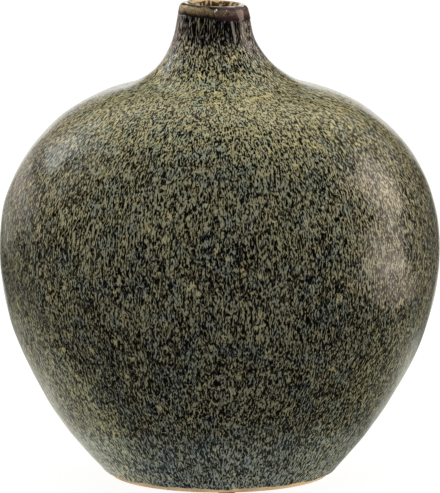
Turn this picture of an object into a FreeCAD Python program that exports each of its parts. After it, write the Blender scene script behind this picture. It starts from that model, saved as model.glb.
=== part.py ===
"""Bottle vase in stoneware: a turned clay shell, its coats of glaze and the felt dots that it stands on.

Millimetres, +Z up. The origin is on the floor, under the middle of the foot, and the front faces -Y.

Every upright wall follows one outline on the clay's outer face, a chain of tangent stretches: lower wall,
belly, upper body, sweep and the straight collar under the lip. A coat or the hollow is the same chain at
another depth: its arcs keep their centres and its collar stays parallel, so each wall is equally thick
all the way up. A depth is a distance outwards from the clay's outer face.
"""
import FreeCAD, Part
import math
import os

import Sketcher
from FreeCAD import Vector

SIZES = {
    # outline of the clay
    "body_diameter": 220.4,
    "belly_height": 117.5,
    "foot_diameter": 110.0,
    "lower_wall_radius_share": 1.38,
    "belly_radius_share": 0.86,
    "upper_body_radius": 82.3,
    # the neck, up from the top of the upper body's arc to the top of the glazed lip
    "neck_height": 40.2,
    "collar_length": 10.5,
    "collar_lean_angle": 11.0,
    "mouth_diameter": 23.0,
    # walls, floor and foot ring
    "wall_thickness": 4.2,
    "base_thickness": 5.5,
    "floor_fillet": 14.0,
    "recess_depth": 3.0,
    "foot_ring_width": 11.0,
    "foot_edge_round": 0.6,
    "recess_corner_round": 1.5,
    # coats of glaze, and where each one ends
    "glaze_thickness": 0.8,
    "glaze_line_height": 1.5,
    "glaze_edge_round": 0.4,
    "lip_glaze_thickness": 0.9,
    "lip_band_outside": 2.8,
    "lip_band_inside": 1.0,
    "liner_thickness": 0.6,
    "base_glaze_thickness": 0.7,
    "base_glaze_margin": 3.0,
    "base_glaze_round": 0.35,
    # felt dots
    "dot_thickness": 1.0,
    "dot_diameter": 9.0,
    "dot_setback": 1.0,
    "dot_edge_round": 0.25,
    "front_dot_angle": -86.0,
}
DOT_NAMES = ("felt_dot_front", "felt_dot_right", "felt_dot_left")

doc = FreeCAD.newDocument("bottle_vase")


def make_sheet():
    """The spreadsheet of driving sizes, one alias for each."""
    sheet = doc.addObject("Spreadsheet::Sheet", "Sizes")
    for row, (alias, number) in enumerate(SIZES.items(), start=1):
        sheet.set(f"A{row}", alias)
        sheet.set(f"B{row}", str(number))
        sheet.setAlias(f"B{row}", alias)
    doc.recompute()
    return sheet


SHEET = make_sheet()


def size(expression):
    """The value of an expression on the sheet."""
    found = SHEET.evalExpression(expression)
    return float(getattr(found, "Value", found))


# Places and radii on the clay's outer face, as expressions on the sheet
FOOT_RADIUS = "Sizes.foot_diameter / 2"
FOOT_PLANE = "Sizes.dot_thickness"
BODY_RADIUS = "Sizes.body_diameter / 2"
OVERHANG = f"({BODY_RADIUS} - {FOOT_RADIUS})"
RISE = f"(Sizes.belly_height - {FOOT_PLANE})"
ONE_ARC_RADIUS = f"({OVERHANG} ^ 2 + {RISE} ^ 2) / (2 * {OVERHANG})"
LOWER_WALL_RADIUS = f"Sizes.lower_wall_radius_share * {ONE_ARC_RADIUS}"
BELLY_RADIUS = f"Sizes.belly_radius_share * {ONE_ARC_RADIUS}"
BELLY_CENTRE = (f"{BODY_RADIUS} - {BELLY_RADIUS}", "Sizes.belly_height")
OVERALL_HEIGHT = "Sizes.belly_height + Sizes.upper_body_radius + Sizes.neck_height"
HALF_WALL = "Sizes.wall_thickness / 2"
LIP_X = f"Sizes.mouth_diameter / 2 + Sizes.lip_glaze_thickness + {HALF_WALL}"
LIP_Y = f"{OVERALL_HEIGHT} - Sizes.lip_glaze_thickness - {HALF_WALL}"
LEAN = "Sizes.collar_lean_angle"
# The underside, from the foot ring up to the hollow's floor
RECESS_RADIUS = f"{FOOT_RADIUS} - Sizes.foot_ring_width"
RECESS_CEILING = f"{FOOT_PLANE} + Sizes.recess_depth"
FLOOR_HEIGHT = f"{RECESS_CEILING} + Sizes.base_thickness"
GLAZE_LINE = f"{FOOT_PLANE} + Sizes.glaze_line_height"
# Depths in the wall
CLAY_FACE = "0"
GLAZE_FACE = "Sizes.glaze_thickness"
LIP_GLAZE_FACE = "Sizes.lip_glaze_thickness"
HOLLOW_FACE = "-Sizes.wall_thickness"
LINER_FACE = "-Sizes.wall_thickness - Sizes.liner_thickness"
THROAT_GLAZE_FACE = "-Sizes.wall_thickness - Sizes.lip_glaze_thickness"
HOLLOW_FACES = (HOLLOW_FACE, LINER_FACE)
# Distances down the collar from the middle of the lip
LIP = "0"
LIP_BAND_EDGE = "Sizes.lip_band_outside"
THROAT_EDGE = "Sizes.lip_band_inside"
COLLAR_FOOT = "Sizes.collar_length"

SKETCH_ORIGIN = (-1, 1)
START, END, CENTRE = 1, 2, 3
# two heights count as one within this
SAME_LEVEL = 1e-6


def collar_place(depth, down):
    """A place on the collar as two expressions: its depth in the wall, and how far down from the lip."""
    out = f"({HALF_WALL} + ({depth}))"
    x = f"{LIP_X} + {out} * cos({LEAN}) + ({down}) * sin({LEAN})"
    y = f"{LIP_Y} + {out} * sin({LEAN}) - ({down}) * cos({LEAN})"
    return x, y


def point_at(x, y):
    """The point that two expressions give in a section's plane."""
    return Vector(size(x), size(y), 0)


def direction(start, end):
    """The angle of the line from one point to another, in radians."""
    return math.atan2(end.y - start.y, end.x - start.x)


def crossing(centre_a, reach_a, centre_b, reach_b):
    """Where two circles cross, on the side nearer the vase's axis."""
    step = centre_b - centre_a
    along = (reach_a**2 - reach_b**2 + step.Length**2) / (2 * step.Length)
    across = math.sqrt(reach_a**2 - along**2)
    step.normalize()
    left = Vector(-step.y, step.x, 0)
    return min((centre_a + step * along + left * side for side in (across, -across)), key=lambda p: p.x)


class Outline:
    """Where the arcs of the outline have their centres, and the angles at which they meet."""

    def __init__(self):
        lower_radius, belly_radius = size(LOWER_WALL_RADIUS), size(BELLY_RADIUS)
        upper_radius = size("Sizes.upper_body_radius")
        self.foot = point_at(FOOT_RADIUS, FOOT_PLANE)
        self.belly = point_at(*BELLY_CENTRE)
        self.upper = point_at(f"{BODY_RADIUS} - Sizes.upper_body_radius", "Sizes.belly_height")
        self.lower = crossing(self.belly, lower_radius - belly_radius, self.foot, lower_radius)
        self.lean = math.radians(size(LEAN))
        # the circle that leaves the collar's foot squarely and touches the upper body's circle
        collar_foot = point_at(*collar_place(CLAY_FACE, COLLAR_FOOT))
        outwards = Vector(math.cos(self.lean), math.sin(self.lean), 0)
        offset = collar_foot - self.upper
        self.sweep_radius = (offset.Length**2 - upper_radius**2) / (2 * (upper_radius - outwards * offset))
        self.sweep = collar_foot + outwards * self.sweep_radius
        # the centre of the hollow's rounded corner, as far inside the lower wall as above the floor
        corner_height = size(f"{FLOOR_HEIGHT} + Sizes.floor_fillet")
        reach = lower_radius - size("Sizes.wall_thickness + Sizes.floor_fillet")
        drop = self.lower.y - corner_height
        self.floor_corner = Vector(self.lower.x + math.sqrt(reach**2 - drop**2), corner_height, 0)
        self.wall_to_belly = direction(self.lower, self.belly)
        self.body_to_sweep = direction(self.upper, self.sweep)


OUTLINE = Outline()


class Section:
    """A sketch in a body's XZ plane: x runs outwards from the axis, and y runs up."""

    def __init__(self, body, name):
        self.sketch = body.newObject("Sketcher::SketchObject", name)
        attach(self.sketch, body, "XZ_Plane")

    def tie(self, kind, *places, expression=None):
        """Adds a constraint, bound to an expression on the sheet if it has a size."""
        if expression is None:
            self.sketch.addConstraint(Sketcher.Constraint(kind, *places))
            return
        index = self.sketch.addConstraint(Sketcher.Constraint(kind, *places, size(expression)))
        self.sketch.setExpression(f"Constraints[{index}]", expression)

    def place(self, point, x=None, y=None):
        """Holds a point at its distance from the origin, along x, y or both."""
        if x is not None:
            self.tie("DistanceX", *SKETCH_ORIGIN, *point, expression=x)
        if y is not None:
            self.tie("DistanceY", *SKETCH_ORIGIN, *point, expression=y)

    def arc(self, centre, radius, begin, finish):
        """An arc that runs anticlockwise between two angles."""
        circle = Part.Circle(centre, Vector(0, 0, 1), radius)
        return self.sketch.addGeometry(Part.ArcOfCircle(circle, begin, finish), False)

    def sized_arc(self, centre, radius, begin, finish):
        """An arc whose radius is bound to an expression."""
        index = self.arc(centre, size(radius), begin, finish)
        self.tie("Radius", index, expression=radius)
        return index

    def line(self, start, finish):
        return self.sketch.addGeometry(Part.LineSegment(start, finish), False)

    def join(self, start, finish):
        """A straight edge between two ends that are already held."""
        index = self.line(self.sketch.getPoint(*start), self.sketch.getPoint(*finish))
        self.tie("Coincident", index, START, *start)
        self.tie("Coincident", index, END, *finish)

    def run(self, start, *places):
        """Straight edges from an end through places given as pairs of expressions. Gives the last end."""
        for x, y in places:
            index = self.line(self.sketch.getPoint(*start), point_at(x, y))
            self.tie("Coincident", index, START, *start)
            self.place((index, END), x, y)
            start = (index, END)
        return start

    def collar(self, depth, high, low):
        """A stretch of the straight collar. Gives its high and low ends."""
        places = [collar_place(depth, down) for down in (high, low)]
        index = self.line(*(point_at(*place) for place in places))
        for end, place in zip((START, END), places):
            self.place((index, end), *place)
        return (index, START), (index, END)

    def wall(self, depth, high):
        """The outline at one depth, from a place on the collar down to the lower wall's free end.

        The sweep has no radius of its own: it is the arc that leaves the collar's foot smoothly and meets
        the upper body smoothly.
        """
        top, collar_foot = self.collar(depth, high, COLLAR_FOOT)
        sweep_radius = OUTLINE.sweep_radius - size(depth)
        half_turn = math.pi
        sweep = self.arc(OUTLINE.sweep, sweep_radius, half_turn + OUTLINE.lean, half_turn + OUTLINE.body_to_sweep)
        self.tie("Tangent", sweep, START, *collar_foot)
        upper = self.sized_arc(OUTLINE.upper, f"Sizes.upper_body_radius + ({depth})", 0, OUTLINE.body_to_sweep)
        self.tie("Tangent", upper, END, sweep, END)
        belly = self.sized_arc(OUTLINE.belly, f"{BELLY_RADIUS} + ({depth})", OUTLINE.wall_to_belly, 0)
        self.tie("Tangent", belly, END, upper, START)
        self.place((belly, CENTRE), *BELLY_CENTRE)
        self.place((belly, END), y=BELLY_CENTRE[1])
        bottom = OUTLINE.floor_corner if depth in HOLLOW_FACES else OUTLINE.foot
        lower_start = direction(OUTLINE.lower, bottom)
        lower = self.sized_arc(OUTLINE.lower, f"{LOWER_WALL_RADIUS} + ({depth})", lower_start, OUTLINE.wall_to_belly)
        self.tie("Tangent", lower, END, belly, START)
        foot_corner = self.sketch.addGeometry(Part.Point(OUTLINE.foot), True)
        self.place((foot_corner, START), FOOT_RADIUS, FOOT_PLANE)
        self.tie("Distance", foot_corner, START, lower, CENTRE, expression=LOWER_WALL_RADIUS)
        return top, (lower, START)

    def floor(self, depth, wall_end):
        """The hollow's rounded corner and level floor at one depth, from the wall's end to the axis."""
        height = f"{FLOOR_HEIGHT} - ({depth}) - Sizes.wall_thickness"
        radius = f"Sizes.floor_fillet + ({depth}) + Sizes.wall_thickness"
        lower_start = direction(OUTLINE.lower, OUTLINE.floor_corner)
        corner = self.sized_arc(OUTLINE.floor_corner, radius, -math.pi / 2, lower_start)
        self.tie("Tangent", corner, END, *wall_end)
        level = self.line(self.sketch.getPoint(corner, START), point_at("0", height))
        self.tie("Tangent", level, START, corner, START)
        self.tie("Horizontal", level)
        self.place((level, END), "0", height)
        return (level, END)

    def lip(self, outer_end, inner_end):
        """The round lip that joins the collar's outer and inner faces smoothly."""
        outer, inner = self.sketch.getPoint(*outer_end), self.sketch.getPoint(*inner_end)
        middle = (outer + inner) / 2
        index = self.arc(middle, (outer - middle).Length, OUTLINE.lean, OUTLINE.lean + math.pi)
        self.tie("Tangent", index, START, *outer_end)
        self.tie("Coincident", index, END, *inner_end)


def attach(sketch, body, role):
    """Lays a sketch flat on one of its body's own origin planes."""
    plane = next(feature for feature in body.Origin.OriginFeatures if feature.Role == role)
    sketch.AttachmentSupport = [(plane, "")]
    sketch.MapMode = "FlatFace"


def new_body(label):
    body = doc.addObject("PartDesign::Body", label)
    body.Label = label
    return body


def turn(body, section):
    """Revolves a closed section once round the axis."""
    solid = body.newObject("PartDesign::Revolution", "turned")
    solid.Profile = section.sketch
    solid.ReferenceAxis = (section.sketch, ["V_Axis"])
    solid.Angle = 360
    section.sketch.Visibility = False
    doc.recompute()
    return solid


def disc(body, radius, height, thickness):
    """A round plate that stands on a level plane at a height."""
    sketch = body.newObject("Sketcher::SketchObject", "round_outline")
    attach(sketch, body, "XY_Plane")
    sketch.setExpression("AttachmentOffset.Base.z", height)
    circle = sketch.addGeometry(Part.Circle(Vector(0, 0, 0), Vector(0, 0, 1), size(radius)), False)
    sketch.addConstraint(Sketcher.Constraint("Coincident", circle, CENTRE, *SKETCH_ORIGIN))
    index = sketch.addConstraint(Sketcher.Constraint("Radius", circle, size(radius)))
    sketch.setExpression(f"Constraints[{index}]", radius)
    plate = body.newObject("PartDesign::Pad", "plate")
    plate.Profile = sketch
    plate.setExpression("Length", thickness)
    sketch.Visibility = False
    doc.recompute()


def round_rim(body, name, amount, height, choose=max):
    """Rounds the widest level circular edge of a body at a height, or with min the narrowest one."""
    level = size(height)
    base = body.Tip
    found = []
    for number, edge in enumerate(base.Shape.Edges, start=1):
        if isinstance(edge.Curve, Part.Circle) and math.isclose(edge.Curve.Center.z, level, abs_tol=SAME_LEVEL):
            found.append((edge.Curve.Radius, number))
    fillet = body.newObject("PartDesign::Fillet", name)
    fillet.Base = (base, [f"Edge{choose(found)[1]}"])
    fillet.setExpression("Radius", amount)
    doc.recompute()


def make_clay_body():
    """The fired shell in one piece: foot ring, recessed base, belly, neck and rounded lip."""
    body = new_body("clay_body")
    section = Section(body, "wall_section")
    outer_lip, foot = section.wall(CLAY_FACE, LIP)
    section.place(foot, y=FOOT_PLANE)
    inner_lip, hollow_end = section.wall(HOLLOW_FACE, LIP)
    section.lip(outer_lip, inner_lip)
    floor_middle = section.floor(HOLLOW_FACE, hollow_end)
    underside = section.run(
        foot,
        (RECESS_RADIUS, FOOT_PLANE),
        (RECESS_RADIUS, RECESS_CEILING),
        ("0", RECESS_CEILING),
    )
    section.join(underside, floor_middle)
    turn(body, section)
    round_rim(body, "foot_edge", "Sizes.foot_edge_round", FOOT_PLANE)
    round_rim(body, "ring_inner_edge", "Sizes.foot_edge_round", FOOT_PLANE, min)
    round_rim(body, "recess_corner", "Sizes.recess_corner_round", RECESS_CEILING)
    return body


def make_outer_glaze():
    """The speckled coat on the outside, from the edge of the lip's band down to the glaze line."""
    body = new_body("outer_glaze")
    section = Section(body, "coat_section")
    ends = [section.wall(face, LIP_BAND_EDGE) for face in (CLAY_FACE, GLAZE_FACE)]
    for _, bottom in ends:
        section.place(bottom, y=GLAZE_LINE)
    for inner, outer in zip(*ends):
        section.join(inner, outer)
    turn(body, section)
    round_rim(body, "glaze_edge", "Sizes.glaze_edge_round", GLAZE_LINE)
    return body


def make_lip_glaze():
    """The brown coat that wraps the lip, a little way down the outside and into the throat."""
    body = new_body("lip_glaze")
    section = Section(body, "coat_section")
    edges = []
    for outer_face, inner_face in ((CLAY_FACE, HOLLOW_FACE), (LIP_GLAZE_FACE, THROAT_GLAZE_FACE)):
        outer_lip, outer_edge = section.collar(outer_face, LIP, LIP_BAND_EDGE)
        inner_lip, inner_edge = section.collar(inner_face, LIP, THROAT_EDGE)
        section.lip(outer_lip, inner_lip)
        edges.append((outer_edge, inner_edge))
    for start, finish in zip(*edges):
        section.join(start, finish)
    turn(body, section)
    return body


def make_liner_glaze():
    """The honey-coloured coat inside, from the throat down over the walls and the floor."""
    body = new_body("liner_glaze")
    section = Section(body, "coat_section")
    throats, middles = [], []
    for face in HOLLOW_FACES:
        throat, wall_end = section.wall(face, THROAT_EDGE)
        throats.append(throat)
        middles.append(section.floor(face, wall_end))
    section.join(*throats)
    section.join(*middles)
    turn(body, section)
    return body


def make_base_glaze():
    """The coat on the ceiling of the recess under the base, clear of the foot ring."""
    body = new_body("base_glaze")
    radius = f"{RECESS_RADIUS} - Sizes.base_glaze_margin"
    underside = f"{RECESS_CEILING} - Sizes.base_glaze_thickness"
    disc(body, radius, underside, "Sizes.base_glaze_thickness")
    round_rim(body, "coat_edge", "Sizes.base_glaze_round", underside)
    return body


def make_felt_dot(label, turns):
    """One felt dot under the foot ring, a number of equal steps round from the front one."""
    body = new_body(label)
    disc(body, "Sizes.dot_diameter / 2", "0", "Sizes.dot_thickness")
    round_rim(body, "worn_edge", "Sizes.dot_edge_round", "0")
    angle = f"(Sizes.front_dot_angle + {turns} * {360 / len(DOT_NAMES)})"
    reach = f"({FOOT_RADIUS} - Sizes.dot_setback - Sizes.dot_diameter / 2)"
    body.setExpression("Placement.Base.x", f"{reach} * cos({angle})")
    body.setExpression("Placement.Base.y", f"{reach} * sin({angle})")
    return body


def check(pieces):
    """Stops the build if any object failed to recompute or any piece isn't one valid solid."""
    for item in doc.Objects:
        if "Invalid" in item.State or "Error" in item.State:
            raise RuntimeError(f"{item.Label} failed: {item.getStatusString()}")
    for piece in pieces:
        shape = piece.Shape
        if shape.isNull() or not shape.isValid() or len(shape.Solids) != 1:
            raise RuntimeError(f"{piece.Label} is not one valid solid")


def main():
    pieces = [make_clay_body(), make_outer_glaze(), make_lip_glaze(), make_liner_glaze(), make_base_glaze()]
    pieces += [make_felt_dot(name, turns) for turns, name in enumerate(DOT_NAMES)]
    doc.recompute()
    check(pieces)
    os.makedirs("parts", exist_ok=True)
    for piece in pieces:
        piece.Shape.exportStep(f"parts/{piece.Label}.step")
        box = piece.Shape.BoundBox
        print(f"{piece.Label}: {piece.Shape.Volume:.1f} mm3, z {box.ZMin:.2f} to {box.ZMax:.2f}")


main()
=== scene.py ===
"""The looks of a turned stoneware bottle vase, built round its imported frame: clay, glazes and felt dots.

Metres, +Z up. The origin is on the floor under the middle of the foot, and the front faces -Y.

A point of a section is a complex number: its distance from the axis plus 1j times its height. Every skin of
the vase is worked out from the clay's own skin, which runs from the foot up the outside, over the lip and
down inside, and is read at a place: a distance along it from the foot's edge.
"""
import math

import bpy
import numpy as np
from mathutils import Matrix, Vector


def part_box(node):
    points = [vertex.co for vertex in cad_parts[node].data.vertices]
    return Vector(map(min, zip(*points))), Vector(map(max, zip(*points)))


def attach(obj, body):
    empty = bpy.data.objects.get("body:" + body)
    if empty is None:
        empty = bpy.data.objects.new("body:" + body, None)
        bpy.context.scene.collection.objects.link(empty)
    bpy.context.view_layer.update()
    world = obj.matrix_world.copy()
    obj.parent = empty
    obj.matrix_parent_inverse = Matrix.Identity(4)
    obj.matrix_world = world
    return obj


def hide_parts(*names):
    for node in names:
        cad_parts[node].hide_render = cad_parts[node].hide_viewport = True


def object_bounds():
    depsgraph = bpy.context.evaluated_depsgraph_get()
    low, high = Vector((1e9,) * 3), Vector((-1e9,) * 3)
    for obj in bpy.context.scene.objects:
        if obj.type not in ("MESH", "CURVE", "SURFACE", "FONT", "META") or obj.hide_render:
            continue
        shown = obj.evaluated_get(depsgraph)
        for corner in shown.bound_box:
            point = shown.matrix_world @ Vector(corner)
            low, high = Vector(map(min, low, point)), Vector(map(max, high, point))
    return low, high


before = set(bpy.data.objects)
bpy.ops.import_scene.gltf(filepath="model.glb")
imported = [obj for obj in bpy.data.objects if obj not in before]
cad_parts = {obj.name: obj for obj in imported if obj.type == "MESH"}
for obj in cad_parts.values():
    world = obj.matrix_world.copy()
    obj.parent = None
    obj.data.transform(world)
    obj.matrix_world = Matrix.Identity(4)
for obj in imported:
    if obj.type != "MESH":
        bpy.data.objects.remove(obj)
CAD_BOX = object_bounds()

bl_info = {
    "name": "Bottle vase",
    "version": (1, 0, 0),
    "blender": (4, 5, 0),
    "location": "View3D > Sidebar > Vase",
    "description": "Builds the clay, the coats of glaze and the felt dots of a stoneware bottle vase",
    "category": "Add Mesh",
}

CLAY_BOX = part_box("clay_body")
SPECKLED_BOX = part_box("outer_glaze")
BASE_COAT_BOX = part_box("base_glaze")
DOT_NODES = ("felt_dot_front", "felt_dot_right", "felt_dot_left")
MM = 0.001
X, Y, Z = 0, 1, 2


# Sizes and colours that a user would change

def prop(kind=bpy.props.FloatProperty, **settings):
    """A kind of property, which takes a name, a description and a default."""
    return lambda name, description, default: kind(
        name=name, description=description, default=default, **settings
    )


length = prop(unit="LENGTH", precision=5)  # in metres
share = prop(precision=3)  # a plain number
angle = prop(unit="ROTATION")  # in radians
focal_length = prop(unit="CAMERA")  # in millimetres
colour = prop(bpy.props.FloatVectorProperty, size=3, subtype="COLOR", min=0, max=1)  # linear


class ClaySizes(bpy.types.PropertyGroup):
    """The clay's own sizes."""

    foot_plane: length("Foot plane", "Height of the foot ring's underside", CLAY_BOX[0].z)
    rim_height: length("Rim height", "Height of the glazed lip's top", CAD_BOX[1].z)
    body_diameter: length("Body", "Widest diameter of the clay", CLAY_BOX[1].x - CLAY_BOX[0].x)
    belly_height: length("Belly height", "Height of the widest place", 0.1175)
    foot_diameter: length("Foot", "Diameter of the foot ring", 0.110)
    lower_wall_share: share("Lower wall share", "Lower wall's radius, of one arc from foot to belly", 1.38)
    belly_share: share("Belly share", "Belly's radius, of one arc from foot to belly", 0.86)
    upper_body_radius: length("Upper body", "Radius of the outline from the belly to the sweep", 0.0823)
    collar_length: length("Collar", "Straight stretch under the lip", 0.0105)
    collar_lean: angle("Collar lean", "How far the collar leans in", math.radians(11))
    mouth_diameter: length("Mouth", "Inner diameter of the glazed lip", 0.023)
    wall: length("Wall", "Thickness of the wall", 0.0042)
    recess_depth: length("Recess depth", "Depth of the recess under the base", 0.003)
    base_thickness: length("Base", "Thickness of the base over the recess", 0.0055)
    ring_width: length("Foot ring width", "Width of the foot ring", 0.011)
    floor_fillet: length("Floor fillet", "Radius of the hollow's corner", 0.014)
    edge_round: length("Foot edge round", "Radius of the foot ring's edges", 0.0006)
    recess_round: length("Recess round", "Radius of the recess's corner", 0.0015)
    neck_lean: length("Neck lean", "How far the neck stands to the left of the body's axis", 0.0029)
    rim_tilt: angle("Rim tilt", "How far the rim dips to the right", math.radians(2))


class CoatSizes(bpy.types.PropertyGroup):
    """Thicknesses and edges of the coats of glaze."""

    speckled: length("Speckled coat", "Thickness on the outside", 0.0008)
    glaze_line: length("Glaze line", "Height of the speckled coat's lower edge", SPECKLED_BOX[0].z)
    line_wander: length("Line wander", "How far the lower edge wanders up and down", 0.0004)
    lip: length("Lip coat", "Thickness on the lip", 0.0009)
    band: length("Lip band", "How far the lip's coat comes down outside", 0.0028)
    throat: length("Throat", "How far the lip's coat goes down inside", 0.0010)
    lining: length("Lining", "Thickness inside", 0.0006)
    unevenness: length("Unevenness", "Height of the hand-thrown wall's slow waves", 0.00011)


class GlazeColours(bpy.types.PropertyGroup):
    """Colours of the glazes, clay and felt."""

    gap: colour("Gap", "Dark glaze between the speckles", (0.0018, 0.0014, 0.0004))
    ink: colour("Ink", "Blue-black glaze between the speckles, in patches", (0.0012, 0.0016, 0.0026))
    foot: colour("Foot speckle", "Grey speckle at the foot", (0.30, 0.325, 0.255))
    ankle: colour("Ankle speckle", "Grey speckle above the foot", (0.22, 0.245, 0.195))
    low: colour("Low speckle", "Grey-olive speckle of the lower wall", (0.19, 0.188, 0.118))
    belly: colour("Belly speckle", "Grey-olive speckle on the belly", (0.255, 0.245, 0.150))
    chest: colour("Chest speckle", "Olive speckle between belly and shoulder", (0.32, 0.31, 0.185))
    shoulder: colour("Shoulder speckle", "Yellow-olive speckle on the shoulder", (0.56, 0.53, 0.28))
    neck_root: colour("Neck root speckle", "Olive speckle where the neck begins", (0.50, 0.47, 0.285))
    neck: colour("Neck speckle", "Grey speckle on the neck", (0.26, 0.23, 0.175))
    plum: colour("Plum", "The lip's band where it is thick", (0.030, 0.014, 0.016))
    brown: colour("Brown", "Drips inside the mouth", (0.085, 0.045, 0.016))
    # Iron is the band's own dark glaze on the left, and also the painted dark reflection under the lip's crest
    iron: colour("Iron", "Dark brown along the lip's crest", (0.010, 0.006, 0.005))
    # Rose is the pale run's own colour on the neck, and also the painted reflection along the neck's sides
    rose_and_painted_reflection: colour("Rose", "Pinkish grey, where the neck's glaze is thin", (0.42, 0.35, 0.32))
    mauve: colour("Mauve", "The lip's right side, where it is mottled", (0.105, 0.068, 0.066))
    # The bead colour is a painted glint on the beads' tops; the beads' relief is in the lip band's shape
    bead: colour("Bead", "Pale beads of glaze under the lip's crest", (0.80, 0.78, 0.76))
    # This grey-cream is a painted highlight along the front of the lip's crest
    painted_crest_highlight: colour("Lilac", "Grey-cream on the lip's crest, where the glaze is thin", (0.62, 0.57, 0.52))
    tan: colour("Tan", "The lip's band where it is thin", (0.42, 0.31, 0.17))
    honey: colour("Honey", "The lining", (0.70, 0.50, 0.26))
    # Buff is partly painted light: paler than the bare clay's own colour, to light the shaded strip at the foot
    buff: colour("Buff", "Bare clay", (0.68, 0.50, 0.29))
    felt: colour("Felt", "Felt dots", (0.030, 0.024, 0.022))


class StudioLevels(bpy.types.PropertyGroup):
    """Where the camera stands, and how bright the plain studio is."""

    distance: length("Camera distance", "From the vase's axis to the camera", 3.0)
    elevation: angle("Camera elevation", "How far the camera looks down", math.radians(9))
    lens: focal_length("Lens", "Focal length", 434.3)
    aim_x: length("Aim across", "Where the camera aims, across", 0.00025)
    aim_z: length("Aim height", "Where the camera aims, up", 0.1165)
    level: share("Plain level", "World light that reaches matt surfaces", 0.62)
    lamps: share("Lamp level", "Radiance of a lamp whose part is 1", 1.25)


# Shapes

class Skin:
    """The clay's skin in section, from the foot up the outside, over the lip and down the hollow's wall.

    The outside is a chain of tangent stretches: lower wall, belly and upper body bulge, the sweep into the
    neck is hollow, the collar is straight, and the lip is half a turn. On an arc of radius R about C the
    point whose outward normal has the angle a is C + R exp(ia), with R below zero in the hollow sweep.
    """

    COLLAR = 4  # the straight stretch's number in the chain

    def __init__(self, clay, lip_coat):
        self.wall = clay.wall
        body = clay.body_diameter / 2
        overhang = body - clay.foot_diameter / 2
        rise = clay.belly_height - clay.foot_plane
        one_arc = (overhang**2 + rise**2) / (2 * overhang)
        lower_radius = clay.lower_wall_share * one_arc
        belly_radius = clay.belly_share * one_arc
        self.foot = complex(clay.foot_diameter / 2, clay.foot_plane)
        belly = complex(body - belly_radius, clay.belly_height)
        upper = complex(body - clay.upper_body_radius, clay.belly_height)
        lower = self.crossing(self.foot, lower_radius, belly, lower_radius - belly_radius)
        lean = clay.collar_lean
        out = complex(math.cos(lean), math.sin(lean))
        middle = clay.mouth_diameter / 2 + lip_coat + clay.wall / 2
        self.lip = complex(middle, clay.rim_height - lip_coat - clay.wall / 2)
        collar_foot = self.lip + out * (clay.wall / 2 - 1j * clay.collar_length)
        offset = collar_foot - upper
        reach = clay.upper_body_radius
        sweep_radius = (abs(offset) ** 2 - reach**2) / (2 * (reach - (out.conjugate() * offset).real))
        sweep = collar_foot + out * sweep_radius
        turns = np.array([
            np.angle(self.foot - lower), np.angle(belly - lower), 0, np.angle(sweep - upper), lean, lean,
            lean + math.pi,
        ])
        self.radii = np.array([lower_radius, belly_radius, reach, -sweep_radius, math.inf, clay.wall / 2])
        arcs = np.diff(turns)[: self.COLLAR] * self.radii[: self.COLLAR]
        lengths = np.append(arcs, [clay.collar_length, math.pi * clay.wall / 2])
        self.starts = np.append(0, np.cumsum(lengths))
        self.turns = turns[:-1]
        self.centres = np.array([lower, belly, upper, sweep, 0, self.lip])
        self.collar = (collar_foot, out)
        self.collar_top = self.starts[self.COLLAR + 1]
        self.lip_end = self.starts[-1]
        # the hollow's rounded corner is as far inside the lower wall as above the floor
        self.floor = clay.foot_plane + clay.recess_depth + clay.base_thickness
        self.fillet = clay.floor_fillet
        corner_reach = lower_radius - clay.wall - clay.floor_fillet
        corner_height = self.floor + clay.floor_fillet
        corner_radius = lower.real + math.sqrt(corner_reach**2 - (lower.imag - corner_height) ** 2)
        self.corner = complex(corner_radius, corner_height)
        self.corner_turn = np.angle(self.corner - lower)
        self.hollow_end = self.lip_end + self.collar_top - (self.corner_turn - turns[0]) * lower_radius

    @staticmethod
    def crossing(a, reach_a, b, reach_b):
        """Where two circles cross, on the side nearer the axis: so far along the line between their middles,
        and across it by the third side of the right triangle."""
        step = b - a
        along = (reach_a**2 - reach_b**2 + abs(step) ** 2) / (2 * abs(step))
        across = math.sqrt(reach_a**2 - along**2)
        crossings = (a + step / abs(step) * complex(along, side) for side in (across, -across))
        return min(crossings, key=lambda point: point.real)

    def at(self, place):
        """Points of the skin and its outward normals, at places given as an array of any shape. Past the lip
        the way is folded back: the point is the outside's, moved in by the wall, and the normal is turned."""
        inside = place > self.lip_end
        folded = np.where(inside, self.collar_top - (place - self.lip_end), place)
        part = np.clip(np.searchsorted(self.starts, folded, side="right") - 1, 0, len(self.radii) - 1)
        beyond = folded - self.starts[part]
        normal = np.exp(1j * (self.turns[part] + beyond / self.radii[part]))
        straight = part == self.COLLAR
        radii = np.where(straight, 0, self.radii[part])
        collar_foot, out = self.collar
        point = np.where(straight, collar_foot + 1j * out * beyond, self.centres[part] + radii * normal)
        point = np.where(inside, point - self.wall * normal, point)
        return point, np.where(inside, -normal, normal)

    def place_at_height(self, height):
        """The place on the lower wall at a height: the arc's radius times its turn from the foot, where the
        turn's sine is the height over the arc's middle, divided by the radius."""
        turn = math.asin((height - self.centres[0].imag) / self.radii[0])
        return (turn - self.turns[0]) * self.radii[0]

    def corner_and_floor(self, coat, corner_steps, floor_steps):
        """The hollow's corner and floor under a coat, from the wall's end to the axis."""
        turn = np.linspace(self.corner_turn, -math.pi / 2, corner_steps)[1:]
        corner = self.corner + (self.fillet - coat) * np.exp(1j * turn)
        level = np.linspace(self.corner.real, 0, floor_steps)[1:] + 1j * (self.floor + coat)
        return np.concatenate([corner, level])


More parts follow.
